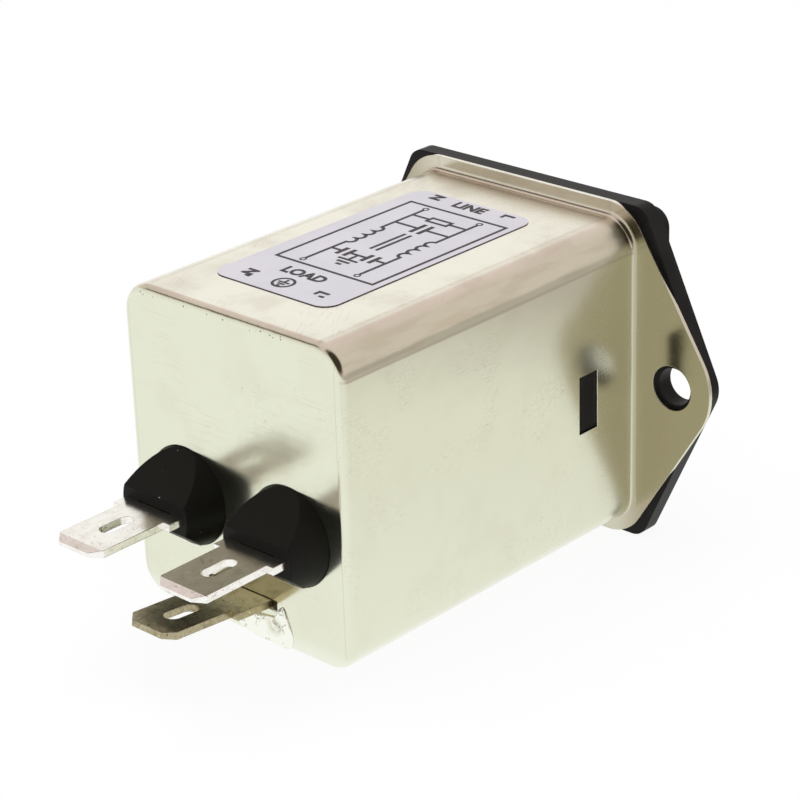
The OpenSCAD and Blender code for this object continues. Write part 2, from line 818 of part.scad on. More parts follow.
// Dipped ceramic disc standing on its two leads
module disc_capacitor(side) {
    x = side * ycap_x;
    y = board_rear_y + ycap_lift + ycap_d / 2;
    rim_r = (ycap_d - ycap_t) / 2;
    color("#3f6fa3") {
        translate([x, y, ycap_z]) rotate([0, 90, 0]) rotate_extrude() {
            translate([0, -ycap_t / 2]) square([rim_r, ycap_t]);
            intersection() {
                translate([rim_r, 0]) circle(ycap_t / 2);
                translate([rim_r, -ycap_t / 2]) square([ycap_t / 2, ycap_t]);
            }
        }
        for (end = [-1, 1]) {
            rod_y(lead_d, solder_end_y, y, x, ycap_z + end * ycap_pitch / 2);
        }
    }
}

module line_y_capacitor() {
    disc_capacitor(LINE);
}

module neutral_y_capacitor() {
    disc_capacitor(NEUTRAL);
}

// Carbon film resistor standing on end, its upper lead bent back to the board
module discharge_resistor() {
    foot_y = board_rear_y + resistor_lift;
    bend_y = foot_y + resistor_l + resistor_lift;
    return_z = resistor_z + resistor_pitch;
    color("#b9a27a") {
        rod_y(resistor_d, foot_y, foot_y + resistor_l, resistor_x, resistor_z);
        rod_y(lead_d, solder_end_y, bend_y, resistor_x, resistor_z);
        rod_y(lead_d, solder_end_y, bend_y, resistor_x, return_z);
        translate([resistor_x, bend_y, (resistor_z + return_z) / 2]) rotate([0, 90, 0]) {
            rotate_extrude(angle = 180) translate([resistor_pitch / 2, 0]) circle(d = lead_d);
        }
    }
}

// ---------- Leads to the output side ----------

// Insulated lead from the board to the stem of one output tab
module output_lead(side, tint) {
    x = side * tab_pitch / 2;
    color(tint) {
        rod_y(lead_wire_d, board_rear_y + strip_l, stem_y - strip_l, x, lead_z);
        rod_y(conductor_d, solder_end_y, stem_y + stem_l - strip_l, x, lead_z);
    }
}

module line_lead() {
    output_lead(LINE, "#6b4630");
}

module neutral_lead() {
    output_lead(NEUTRAL, "#3c5f9c");
}

// Section of a strip that runs along +Y with its upper face at Z = 0 and
// turns down at Y = 0, drawn in (Y, Z)
module angle_section(t, bend_r, run, drop) {
    outer_r = bend_r + t;
    translate([outer_r, -t]) square([run - outer_r, t]);
    translate([0, -drop]) square([t, drop - outer_r]);
    intersection() {
        translate([outer_r, -outer_r]) ring_2d(outer_r, bend_r);
        translate([0, -outer_r]) square(outer_r);
    }
}

// Strap from the board to the foot of the earth tab
module earth_strap() {
    top_z = strap_z + strap_t / 2;
    color("#b9b5aa") translate([earth_tab_x, earth_foot_y, top_z]) mirror([0, 1, 0]) {
        across_x(strap_w) {
            angle_section(strap_t, strap_t, earth_foot_y - solder_end_y, top_z - earth_foot_z);
        }
    }
}

// ---------- Output terminals ----------

// Section of the nose with its two sloping flats, drawn in (Y, Z)
module nose_section() {
    polygon([
        [body_d, -insulator_d / 2], [nose_y, -nose_h / 2],
        [nose_y, nose_h / 2], [body_d, insulator_d / 2]
    ]);
}

// Insulator pushed through the end wall from inside, with a tapered nose;
// the liner limits the collar that stays inside
module terminal_insulator(side) {
    x = side * tab_pitch / 2;
    collar_front_y = end_inner_y - insulator_flange_t;
    color("#17181c") difference() {
        union() {
            along_y(collar_front_y, end_inner_y) intersection() {
                translate([x, tab_z]) circle(d = insulator_flange_d);
                inside_liner();
            }
            rod_y(insulator_d, end_inner_y, body_d, x, tab_z);
            translate([x, 0, tab_z]) intersection() {
                translate([0, body_d, 0]) rotate([-90, 0, 0]) {
                    cylinder(d1 = insulator_d, d2 = nose_tip_d, h = nose_l);
                }
                across_x(insulator_d) nose_section();
            }
        }
        translate([x, (collar_front_y + nose_y) / 2, tab_z]) {
            cube([stem_w + 2 * fit_gap, 2 * nose_l + stem_l, tab_t + 2 * fit_gap], center = true);
        }
    }
}

module line_terminal_insulator() {
    terminal_insulator(LINE);
}

module neutral_terminal_insulator() {
    terminal_insulator(NEUTRAL);
}

// Plan of a detent slot of width w whose far end is at end_y
module detent_slot(w, end_y) {
    run = slot_l - w;
    translate([-w / 2, end_y - w / 2 - run]) square([w, run]);
    for (y = [end_y - w / 2 - run, end_y - w / 2]) {
        translate([0, y]) circle(d = w);
    }
}

// Plan of a blade of length l in front of its root, with cut corners
module blade_plan(l, tip_y) {
    w = tab_w / 2;
    polygon([
        [-w, tip_y - l], [w, tip_y - l], [w, tip_y - tip_corner],
        [w - tip_corner, tip_y], [tip_corner - w, tip_y], [-w, tip_y - tip_corner]
    ]);
}

// Section of a blade along its length, bevelled to thickness end_t, drawn in (Y, Z)
module blade_section(start_y, tip_y, end_t) {
    polygon([
        [start_y, -tab_t / 2], [tip_y - tip_bevel, -tab_t / 2], [tip_y, -end_t / 2],
        [tip_y, end_t / 2], [tip_y - tip_bevel, tab_t / 2], [start_y, tab_t / 2]
    ]);
}

module output_tab(side) {
    color("#cfcabf") translate([side * tab_pitch / 2, 0, tab_z]) intersection() {
        across_x(tab_shoulder_w) blade_section(stem_y, tab_tip_y, tip_t);
        linear_extrude(tab_t, center = true) difference() {
            union() {
                translate([-stem_w / 2, stem_y]) square([stem_w, nose_y - stem_y]);
                translate([-tab_shoulder_w / 2, nose_y]) square([tab_shoulder_w, tab_shoulder_l]);
                blade_plan(blade_l, tab_tip_y);
            }
            detent_slot(slot_w, tab_tip_y - slot_inset);
        }
    }
}

module line_tab() {
    output_tab(LINE);
}

module neutral_tab() {
    output_tab(NEUTRAL);
}

// ---------- Earth terminal ----------

// Tab bent from one strip: a foot inside the end wall and a blade that rises outside it
module earth_tab() {
    tip_y = earth_root_l + earth_blade_l;
    foot_y = earth_foot_y - body_d;
    drop = earth_tab_z - earth_foot_z;
    color("#a39f8c") translate([earth_tab_x, body_d, earth_tab_z - tab_t]) intersection() {
        across_x(earth_root_w) {
            translate([foot_y, tab_t]) angle_section(tab_t, earth_bend_r, -foot_y, drop);
            rotate(earth_tilt) translate([0, tab_t / 2]) blade_section(0, tip_y, earth_tip_t);
        }
        rotate([earth_tilt, 0, 0]) linear_extrude(3 * drop, center = true) difference() {
            union() {
                translate([-earth_root_w / 2, 2 * foot_y]) square([earth_root_w, earth_root_l - 2 * foot_y]);
                blade_plan(earth_blade_l, tip_y);
            }
            detent_slot(earth_slot_w, tip_y - earth_slot_inset);
        }
    }
}

// Run of solder on the end wall below the earth tab, three drops wide
module earth_solder_joint() {
    drop_r = solder_h / 2;
    ball_r = (drop_r * drop_r + solder_t * solder_t) / (2 * solder_t);
    color("#d9d8d2") for (i = [-1, 0, 1]) {
        translate([solder_x + i * (solder_w / 2 - drop_r), body_d, solder_z]) rotate([-90, 0, 0]) {
            rotate_extrude() intersection() {
                translate([0, solder_t - ball_r]) circle(ball_r);
                square([drop_r, solder_t]);
            }
        }
    }
}

// ---------- Label and liner ----------

module rating_label() {
    color("#d5d0d6") translate([label_x, label_y, body_h / 2]) linear_extrude(label_t) {
        rounded_rect(label_w, label_l, label_r);
    }
}

module insulating_liner() {
    w = inner_w - 2 * liner_gap;
    h = inner_h - 2 * liner_gap;
    r = inner_edge_r - liner_gap;
    color("#e4dcc0") along_y(board_y - liner_lap, end_inner_y - liner_short) difference() {
        rounded_rect(w, h, r);
        rounded_rect(w - 2 * liner_t, h - 2 * liner_t, r - liner_t);
    }
}

metal_housing();
inlet_moulding();
line_pin();
neutral_pin();
earth_pin();
circuit_board();
choke_base();
choke_core();
choke_divider();
line_winding();
neutral_winding();
x_capacitor();
line_y_capacitor();
neutral_y_capacitor();
discharge_resistor();
line_lead();
neutral_lead();
earth_strap();
line_terminal_insulator();
neutral_terminal_insulator();
line_tab();
neutral_tab();
earth_tab();
earth_solder_joint();
rating_label();
insulating_liner();
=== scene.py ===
# %% [markdown]
# # A mains filter in a drawn steel can
#
# The part is an appliance inlet for a panel, with a mains filter behind it in
# a tin-plated can. Its exact solids come from CAD. This notebook dresses them:
# every node gets a finish made of procedural nodes, and what CAD leaves plain,
# such as the print on the label and the blob of solder, is modelled here.

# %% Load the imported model
import math

import bmesh
import bpy
from mathutils import Matrix, Vector, noise


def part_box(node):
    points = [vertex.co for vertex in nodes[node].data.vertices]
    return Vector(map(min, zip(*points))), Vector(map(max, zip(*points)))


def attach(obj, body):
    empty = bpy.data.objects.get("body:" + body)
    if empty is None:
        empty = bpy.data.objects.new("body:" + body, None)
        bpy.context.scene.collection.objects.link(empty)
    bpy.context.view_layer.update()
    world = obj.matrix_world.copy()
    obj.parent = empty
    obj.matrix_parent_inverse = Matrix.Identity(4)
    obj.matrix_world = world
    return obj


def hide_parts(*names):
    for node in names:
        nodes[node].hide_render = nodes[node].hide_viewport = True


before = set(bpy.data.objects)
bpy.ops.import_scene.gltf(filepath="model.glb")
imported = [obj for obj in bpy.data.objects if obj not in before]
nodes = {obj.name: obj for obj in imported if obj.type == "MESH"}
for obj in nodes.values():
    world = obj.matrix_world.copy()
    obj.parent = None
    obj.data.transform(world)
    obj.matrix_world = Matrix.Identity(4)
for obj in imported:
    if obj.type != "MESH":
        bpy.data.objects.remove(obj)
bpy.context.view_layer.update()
MM = 0.001

# %% [markdown]
# ## Shader arithmetic
#
# A finish is a recipe of masks: a scratch here, a duller zone there. Recipes
# are easier to read as arithmetic than as lists of nodes and links. The class
# below wraps one output socket, so that `1 - mask * 0.5` adds the Math nodes
# that do it. Math nodes turn a colour grey, so colours are blended by a Mix
# node and positions are moved by Vector Math.


# %% A socket that understands arithmetic
class Signal:
    """One output of a material's node tree, usable in Python expressions."""

    def __init__(self, tree, socket):
        self.tree = tree
        self.socket = socket

    def math(self, operation, *others):
        values = dict(enumerate((self,) + others))
        return add_node(self.tree, "ShaderNodeMath", {"operation": operation}, values)

    def __add__(self, other):
        return self.math("ADD", other)

    def __sub__(self, other):
        return self.math("SUBTRACT", other)

    def __mul__(self, other):
        return self.math("MULTIPLY", other)

    def __truediv__(self, other):
        return self.math("DIVIDE", other)

    def __radd__(self, other):
        return self + other

    def __rmul__(self, other):
        return self * other

    def __rsub__(self, other):
        return self * -1 + other

    def abs(self):
        return self.math("ABSOLUTE")

    def max(self, other):
        return self.math("MAXIMUM", other)

    def min(self, other):
        return self.math("MINIMUM", other)

    def between(self, low, high):
        """0 at low, 1 at high and a smooth step between them; low may be the larger."""
        settings = {"interpolation_type": "SMOOTHSTEP"}
        inputs = {"Value": self, "From Min": low, "From Max": high}
        return add_node(self.tree, "ShaderNodeMapRange", settings, inputs)

    def blend(self, low, high):
        """The colour low where this signal is 0 and high where it is 1."""
        inputs = {"Factor": self, "A": low, "B": high}
        return add_node(self.tree, "ShaderNodeMix", {"data_type": "RGBA"}, inputs, "Result")


def add_node(tree, kind, settings=None, inputs=None, out=0):
    """The one way that any node is added: its settings first, then values or links."""
    made = tree.nodes.new(kind)
    for name, value in (settings or {}).items():
        setattr(made, name, value)
    for key, value in (inputs or {}).items():
        fill(tree, find_socket(made.inputs, key), value)
    return Signal(tree, find_socket(made.outputs, out))


def find_socket(sockets, key):
    """A socket by its number, or the enabled one of that name."""
    return sockets[key] if isinstance(key, int) else next(s for s in sockets if s.enabled and s.name == key)


def fill(tree, socket, value):
    """Links a signal to a socket, or sets a plain number or colour on the socket itself."""
    if isinstance(value, Signal):
        tree.links.new(value.socket, socket)
    elif socket.type == "RGBA" and len(value) == 3:
        socket.default_value = (*value, 1)
    else:
        socket.default_value = value


# %% [markdown]
# ## A finish
#
# Every finish is one Principled shader. Numbers that are the same all over the
# surface are set on its sockets, and only what varies is linked. Positions are
# read in millimetres from the object's own coordinates, which are the frame's
# for every node, so a mark can be put where it is on the part. The pattern
# methods return signals from 0 to 1, and a finish mixes them as it needs.
#
# Sharp CAD edges catch no light, while real ones are rounded by a tenth of a
# millimetre. Rather than cut thousands of small faces, the Bevel node bends
# the shading normal near an edge, which is all that such a radius shows.


# %% Base class for finishes
class Finish:
    """A Principled material with positions in millimetres to work from."""

    def __init__(self, name, **constants):
        self.material = bpy.data.materials.new(name)
        self.material.use_nodes = True
        self.tree = self.material.node_tree
        self.shader = self.tree.nodes["Principled BSDF"]
        for socket, value in constants.items():
            self.set(socket.replace("_", " ").title().replace("Ior", "IOR"), value)
        self.place = self.scaled(self.add("ShaderNodeTexCoord", out="Object"), 1 / MM)
        self.x, self.y, self.z = (self.part_of(self.place, axis) for axis in "xyz")

    def add(self, kind, settings=None, inputs=None, out=0):
        return add_node(self.tree, kind, settings, inputs, out)

    def part_of(self, vector, axis):
        """One of the three numbers of a vector."""
        return self.add("ShaderNodeSeparateXYZ", None, {0: vector}, "xyz".index(axis))

    def set(self, socket, value):
        fill(self.tree, self.shader.inputs[socket], value)

    def vector(self, operation, first, second, out=0):
        return self.add("ShaderNodeVectorMath", {"operation": operation}, {0: first, 1: second}, out)

    def scaled(self, vector, factors):
        """A position multiplied by a number, or by one number for each axis."""
        return self.vector("MULTIPLY", vector, factors if isinstance(factors, tuple) else (factors,) * 3)

    def facing(self, axis):
        """How far the surface faces along an axis, from -1 to 1."""
        return self.part_of(self.add("ShaderNodeNewGeometry", out="Normal"), axis)

    def noise(self, size, detail=2.0, roughness=0.5, shift=0.0):
        """Soft noise around 0.5 with blotches of size millimetres, or of one size for each axis."""
        sizes = size if isinstance(size, tuple) else (size,) * 3
        place = self.vector("ADD", self.scaled(self.place, tuple(1 / s for s in sizes)), (shift,) * 3)
        inputs = {"Vector": place, "Scale": 1.0, "Detail": detail, "Roughness": roughness}
        return self.add("ShaderNodeTexNoise", None, inputs, "Fac")

    def specks(self, cell, share, radius, shift=0.0):
        """Uneven specks: a share of the cells, cell millimetres wide, has one of up to that radius."""
        place = self.vector("ADD", self.scaled(self.place, 1 / cell), (shift,) * 3)
        warp = self.add("ShaderNodeTexNoise", None, {"Vector": place, "Scale": 4.0}, "Color")
        inputs = {"Vector": self.vector("ADD", place, self.scaled(warp, 0.25)), "Scale": 1.0}
        near = self.add("ShaderNodeTexVoronoi", None, inputs, "Distance")
        lot = self.add("ShaderNodeTexVoronoi", None, inputs, "Color")
        chosen, size = (self.add("ShaderNodeSeparateColor", None, {0: lot}, i) for i in range(2))
        reach = (size * 0.8 + 0.2) * (radius / cell)
        return (near / reach).between(1.0, 0.5) * chosen.between(share + 0.01, share)

    def hairlines(self, axis, angle, pitch, length, width=0.02, shift=0.0):
        """Fine scratches at an angle about an axis, pitch apart and length long, in millimetres."""
        turn = {"Vector": self.place, "Angle": math.radians(angle)}
        turned = self.add("ShaderNodeVectorRotate", {"rotation_type": axis}, turn)
        stretched = self.scaled(turned, (1 / length, 1 / pitch, 1 / pitch))
        inputs = {"Vector": self.vector("ADD", stretched, (shift,) * 3), "Scale": 1.0, "Detail": 1.0}
        ridge = self.add("ShaderNodeTexNoise", None, inputs, "Fac")
        patches = self.noise(length * 0.7, 1.0, shift=shift + 7.0)
        return (ridge - 0.5).abs().between(width, 0.0) * patches.between(0.5, 0.62)

    def line(self, coordinate, centre, half_width):
        """1 on the plane where a coordinate has one value, and 0 past half_width from it."""
        return (coordinate - centre).abs().between(half_width, 0.0)

    def spot(self, centre, radii):
        """1 at a point of the part and 0 outside an ellipsoid round it."""
        offset = self.scaled(self.vector("SUBTRACT", self.place, centre), tuple(1 / r for r in radii))
        return self.vector("LENGTH", offset, offset, "Value").between(1.0, 0.0)

    def relief(self, height, edge=0.0):
        """Tilts the surface by a height in millimetres, and rounds its edges by a radius."""
        inputs = {"Height": height, "Distance": MM}
        if edge:
            inputs["Normal"] = self.add("ShaderNodeBevel", {"samples": 6}, {"Radius": edge * MM})
        self.set("Normal", self.add("ShaderNodeBump", None, inputs))

    def on(self, *names):
        """Puts this finish on CAD nodes."""
        for name in names:
            mesh = nodes[name].data
            mesh.materials.clear()
            mesh.materials.append(self.material)
        print(self.material.name, "on", ", ".join(names))


# %% [markdown]
# ## Where things are
#
# The finishes put marks at edges and faces, so their places come from the
# boxes of the CAD nodes, in millimetres. Only what a box can't tell is given as
# a number: the radii of the long edges and of the end edges, and how far the
# outside of the can lies from the film inside it.

# %% Places on the part
def corners(name):
    """Lowest and highest corner of a node, in millimetres."""
    return (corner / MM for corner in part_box(name))


LINER_TO_OUTSIDE = 0.6
LONG_EDGE, END_EDGE = 3.4, 0.95
flange_low, can_high = corners("metal_housing")
label_low, label_high = corners("rating_label")
liner_low, liner_high = corners("insulating_liner")
can_top = label_low.z
can_side = liner_high.x + LINER_TO_OUTSIDE
can_end = can_high.y
print("can: side at x", round(can_side, 2), "top at z", round(can_top, 2), "end at y", round(can_end, 2))

# %% [markdown]
# ## Tin-plated steel of the can
#
# Deep-drawn tinplate is a soft mirror: it shows what stands round it, with a
# warm, slightly green tint. So the shader is fully metallic, and the finish is
# in the tint, the roughness and the relief. The top is given a paler tint,
# which is painted light for the brighter room that it mirrors. The sheet was
# stretched most round the flange, where it has an orange-peel grain. The punch
# left streaks along the four long edges. Where each bend begins, a thin, faint
# dark line is painted in as a reflection, and along the long bends the relief
# also has a shallow groove there. A texture image would give the same marks,
# but has no scale of its own; nodes that read positions in millimetres put each
# mark at its size and place. A brown painted shade on the flange stands for the
# light that is lost where the can and the flange mirror each other.

# %% The housing
TIN = (0.79, 0.81, 0.65)
TIN_TOP_PAINTED_LIGHT = (0.9, 0.87, 0.765)
TIN_UNDER = (0.86, 0.88, 0.75)
TIN_STAIN_AND_SHADE = (0.52, 0.46, 0.36)
TIN_FLANGE_SHADE = (0.43, 0.38, 0.265)
SOOT_AND_SLOT_SHADE = (0.04, 0.033, 0.022)
SLOT_HALF, SLOT_TOP = 4.25, -12.35


def tinned_steel():
    finish = Finish("tinned_steel", metallic=1.0)
    x, y, z = finish.x, finish.y, finish.z
    mottle = finish.noise(6.0, 4.0, 0.6)
    cloud = finish.noise(15.0, 2.0, shift=4.0)
    fine = finish.noise(0.6, 3.0)
    on_end = y.between(can_end - 0.25, can_end - 0.1)
    on_top = z.between(can_top - 0.9, can_top - 0.1) * y.between(can_end - 0.2, can_end - 0.6)
    in_bend = z.between(can_top - LONG_EDGE - 0.2, can_top - LONG_EDGE + 0.8) * (1 - on_top) * (1 - on_end)
    under = z.between(-can_top + 2.6, -can_top + 0.8)
    on_flange = y.between(1.2, 0.3)
    near_flange = y.between(14.0, 0.0) * (1 - on_flange)
    faces_back = finish.facing("y").abs().between(0.3, 0.9)
    streaks = finish.noise((0.22, 9.0, 0.22), 2.0)
    ripples = finish.noise((1.2, 7.0, 1.2), 3.0, shift=2.0)

    top_line = finish.line(x.abs(), can_side - LONG_EDGE + 0.2, 0.5) * on_top
    top_line = top_line * (fine.between(0.35, 0.65) * 0.5 + 0.5)
    side_line = finish.line(z, can_top - LONG_EDGE + 0.1, 0.28) * (1 - on_end)
    corner_line = finish.line(x.abs(), can_side - END_EDGE, 0.14) * on_end
    scratches = finish.hairlines("X_AXIS", 35, 0.5, 14) * 0.5
    scratches = scratches + finish.hairlines("Z_AXIS", 62, 0.45, 9, shift=3.0)

    # The paler top tint is painted light: the top mirrors a brighter room than the sides do.
    tint = under.blend(on_top.blend(TIN, TIN_TOP_PAINTED_LIGHT), TIN_UNDER)
    clouds = mottle.between(0.45, 0.7) * (0.07 + on_top * 0.2) + cloud.between(0.45, 0.7) * on_top * 0.14
    tint = clouds.blend(tint, TIN_STAIN_AND_SHADE)
    tint = (in_bend * ripples.between(0.42, 0.66) * 0.24).blend(tint, TIN_STAIN_AND_SHADE)
    # These lines are painted dark reflections where the bends begin; top_line and side_line are also
    # shallow grooves in the relief.
    marks = top_line * 0.4 + side_line * 0.35 + corner_line * 0.2
    tint = marks.min(1.0).blend(tint, TIN_STAIN_AND_SHADE)
    # Painted shade: the flange faces are darkened brown for the light lost where the can and the flange
    # mirror each other.
    flange_painted_shade = on_flange * faces_back * (0.5 + x.abs().between(12.0, 17.0) * 0.5)
    tint = flange_painted_shade.blend(tint, TIN_FLANGE_SHADE)
    tint = (scratches * 0.2).blend(tint, TIN_STAIN_AND_SHADE)

    specks = finish.specks(1.7, 0.14, 0.11) + finish.specks(0.7, 0.015, 0.06, 5.0)
    edge_dots = finish.specks(0.45, 0.4, 0.17, 8.0) * finish.line(z, can_top - 0.6, 0.7)
    edge_dots = edge_dots * finish.line(y, can_end, 0.5)
    # Painted shade: the wall beside and above the earth tab's slot is darkened to deepen the gap; the
    # specks and edge dots are dark specks of dirt.
    beside_slot = x.abs().between(SLOT_HALF + 0.65, SLOT_HALF + 0.5) * on_end
    above = beside_slot * finish.line(z, SLOT_TOP + 0.1, 0.35)
    ends = beside_slot * x.abs().between(SLOT_HALF - 0.1, SLOT_HALF) * finish.line(z, SLOT_TOP - 0.4, 0.75)
    soot_and_slot_shade = (specks + edge_dots + above * 1.4 + ends * 1.6).min(1.0)
    finish.set("Base Color", soot_and_slot_shade.blend(tint, SOOT_AND_SLOT_SHADE))
    finish.set("Roughness", 0.13 + near_flange * 0.14 + fine * 0.04 + scratches * 0.08 + mottle * 0.03)

    peel = finish.noise(0.38, 3.0, 0.55) * (0.001 + near_flange * 0.006)
    dents = finish.noise(5.5, 1.5) * 0.045 + finish.noise(16.0, 1.0) * 0.12
    lines = scratches * -0.0015 - (top_line + side_line) * 0.006
    finish.relief(peel + dents + lines + (streaks * 0.002 + ripples * 0.02) * in_bend, edge=0.12)
    return finish


tinned_steel().on("metal_housing")

# %% [markdown]
# ## Black mouldings
#
# The inlet is moulded in a dull flame-retardant plastic. The tool's spark-
# eroded texture scatters light, which a fine relief gives better than a high
# roughness alone. The two insulators are smoother, with a little dust on them.

# %% Inlet, choke base and insulators
BLACK = (0.006, 0.006, 0.006)
DUST = (0.35, 0.34, 0.3)


def black_moulding():
    finish = Finish("black_moulding", specular_ior_level=0.16)
    worn = finish.noise(4.0, 3.0)
    finish.set("Base Color", worn.between(0.4, 0.75).blend(BLACK, (0.013, 0.012, 0.012)))
    dust = finish.specks(1.9, 0.12, 0.09)
    finish.set("Roughness", 0.4 + worn * 0.12 + dust * 0.3)
    finish.relief(finish.noise(0.16, 2.0, 0.6) * 0.006 + worn * 0.02, edge=0.18)
    return finish


def black_insulator():
    finish = Finish("black_insulator", specular_ior_level=0.1)
    dust = finish.specks(1.3, 0.1, 0.12) + finish.specks(0.5, 0.015, 0.05, 2.0)
    finish.set("Base Color", dust.blend((0.008, 0.0076, 0.006), DUST))
    ripple = finish.noise(1.6, 2.0)
    finish.set("Roughness", 0.42 + ripple * 0.12 + dust * 0.3)
    finish.relief(ripple * 0.02 + finish.noise(0.3, 2.0) * 0.002, edge=0.25)
    return finish


black_moulding().on("inlet_moulding", "choke_base", "choke_divider")
black_insulator().on("line_terminal_insulator", "neutral_terminal_insulator")

# %% [markdown]
# ## Tabs and pins
#
# The output tabs are brass strip, stamped and tinned: bright, soft mirrors
# with small pits. The earth tab is part of a steel strip, duller and speckled
# with flux from the soldering. The pins of the inlet are nickel plated.

# %% Tinned brass, dull steel and nickel


def tinned_tab():
    finish = Finish("tinned_tab", metallic=1.0)
    pits = finish.specks(0.55, 0.1, 0.1) + finish.specks(1.5, 0.14, 0.16, 4.0)
    smears = finish.noise((0.8, 1.6, 0.8), 4.0, 0.6)
    scribbles = finish.hairlines("Z_AXIS", 20, 0.5, 1.6, 0.03, 1.0)
    tint = smears.between(0.4, 0.7).blend((0.96, 0.945, 0.9), (0.88, 0.85, 0.79))
    # Painted reflection: chamfer faces turned up and back get a paler green tint, standing for what they
    # mirror.
    bevel = finish.facing("y").between(0.2, 0.5) * finish.facing("z").between(0.2, 0.5)
    tint = bevel.blend(tint, (0.86, 0.93, 0.88))
    tint = (scribbles * 0.5).blend(tint, (0.3, 0.27, 0.2))
    finish.set("Base Color", (pits * 0.75).blend(tint, (0.2, 0.18, 0.13)))
    finish.set("Roughness", 0.14 + smears * 0.1 + pits * 0.2)
    finish.relief(smears * 0.012 - pits * 0.006 + finish.noise(0.3, 3.0) * 0.002, edge=0.1)
    return finish


def dull_earth_tab():
    finish = Finish("dull_earth_tab", metallic=1.0)
    grit = finish.noise(0.35, 4.0, 0.7)
    blotch = finish.noise(1.3, 3.0, 0.6)
    pits = finish.specks(0.5, 0.3, 0.17) + finish.specks(1.1, 0.25, 0.25, 6.0)
    bright = finish.specks(0.6, 0.22, 0.14, 9.0)
    root = finish.y.between(can_end + 6.0, can_end)
    tint = grit.between(0.3, 0.8).blend((0.36, 0.31, 0.185), (0.58, 0.52, 0.36))
    tint = (root * 0.6).blend(tint, (0.6, 0.5, 0.29))
    tint = (pits * 0.85 + blotch.between(0.5, 0.68) * 0.4).min(1.0).blend(tint, (0.08, 0.065, 0.03))
    finish.set("Base Color", (bright * 0.75).blend(tint, (1.0, 0.98, 0.85)))
    finish.set("Roughness", 0.22 + grit * 0.2)
    finish.relief(grit * 0.008 + blotch * 0.03 - pits * 0.012, edge=0.1)
    return finish


def nickel_pin():
    finish = Finish("nickel_pin", metallic=1.0)
    drawn = finish.noise((0.12, 2.5, 0.12), 2.0)
    rubbed = finish.noise(1.4, 3.0)
    finish.set("Base Color", rubbed.between(0.4, 0.7).blend((0.74, 0.7, 0.62), (0.66, 0.6, 0.5)))
    finish.set("Roughness", 0.2 + drawn * 0.14)
    finish.relief(drawn * 0.003, edge=0.15)
    return finish


tinned_tab().on("line_tab", "neutral_tab")
dull_earth_tab().on("earth_tab", "earth_strap")
nickel_pin().on("line_pin", "neutral_pin", "earth_pin")

# %% [markdown]
# ## The run of solder
#
# Below the earth tab, the strip is soldered to the end wall. Flowed solder is
# a thin, uneven puddle with a rounded rim, a tongue that was drawn up to the
# end of the slot, and wrinkles where it froze. A sphere pressed flat would
# look like a button. Instead, a smooth closed curve through a few points gives
# the outline, copies of it shrink towards a middle point, and the height rises
# from the rim in a quarter circle and then follows noise.

# %% Model the solder
solder_low, solder_high = corners("earth_solder_joint")
solder_mid = (solder_low + solder_high) / 2
solder_t = solder_high.y - can_end
OUTLINE = (
    (4.6, 0.3), (3.9, -0.9), (1.8, -1.45), (-0.6, -1.5), (-3.0, -1.45), (-3.6, -0.2),
    (-3.1, 1.5), (-2.5, 2.9), (-1.9, 2.7), (-1.3, 1.7), (0.9, 1.3), (3.3, 1.15),
)
MIDDLE = (-1.0, 0.1)
RINGS, SPOKES_PER_POINT = 16, 8


def curve_point(before, start, end, after, t):
    """A point on the smooth curve from start to end that also respects its neighbours."""
    weights = (-t + 2 * t**2 - t**3, 2 - 5 * t**2 + 3 * t**3, t + 4 * t**2 - 3 * t**3, t**3 - t**2)
    return tuple(sum(w * p[i] for w, p in zip(weights, (before, start, end, after))) / 2 for i in range(2))


def solder_outline():
    count = len(OUTLINE)
    steps = [(i, k / SPOKES_PER_POINT) for i in range(count) for k in range(SPOKES_PER_POINT)]
    return [curve_point(*(OUTLINE[(i + n) % count] for n in (-1, 0, 1, 2)), t) for i, t in steps]


def solder_point(share, rim):
    """A point of the puddle at a share of the way from its middle to a point on its rim."""
    x, z = (mid + solder_mid[axis] + (out - mid) * share for axis, mid, out in zip((0, 2), MIDDLE, rim))
    edge = math.sqrt(1 - max(0, (share - 0.72) / 0.28) ** 2)
    lumps = noise.noise(Vector((x * 0.7, z * 0.7, 3.0))) * 0.3
    lumps += noise.noise(Vector((x * 2.4, z * 2.4, 8.0))) * 0.12
    return Vector((x, can_end + solder_t * edge * min(1.0, 0.6 + lumps), z)) * MM


def mesh_piece(name, points, faces, material):
    """Makes an object from points in metres, with outward normals, riding on the part."""
    mesh = bpy.data.meshes.new(name)
    mesh.from_pydata(points, [], faces)
    tidy = bmesh.new()
    tidy.from_mesh(mesh)
    bmesh.ops.recalc_face_normals(tidy, faces=tidy.faces)
    tidy.to_mesh(mesh)
    tidy.free()
    piece = bpy.data.objects.new(name, mesh)
    bpy.context.scene.collection.objects.link(piece)
    mesh.materials.append(material)
    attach(piece, "root")
    return piece


def solder_run(material):
    rim = solder_outline()
    spokes = len(rim)
    points = [solder_point(0, rim[0])]
    points += [solder_point(math.sin(math.pi / 2 * r / RINGS), p) for r in range(1, RINGS + 1) for p in rim]
    faces = [(0, 1 + k, 1 + (k + 1) % spokes) for k in range(spokes)]
    for r in range(RINGS - 1):
        inner, outer = 1 + r * spokes, 1 + (r + 1) * spokes
        for k in range(spokes):
            following = (k + 1) % spokes
            faces.append((inner + k, outer + k, outer + following, inner + following))
    last = 1 + (RINGS - 1) * spokes
    faces.append(tuple(last + k for k in reversed(range(spokes))))
    run = mesh_piece("solder_run", points, faces, material)
    for face in run.data.polygons:
        face.use_smooth = len(face.vertices) < spokes
    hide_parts("earth_solder_joint")
    print("solder run:", len(faces), "faces")


# %% [markdown]
# The solder is a bright metal with dark cracks and pits and a duller patch.

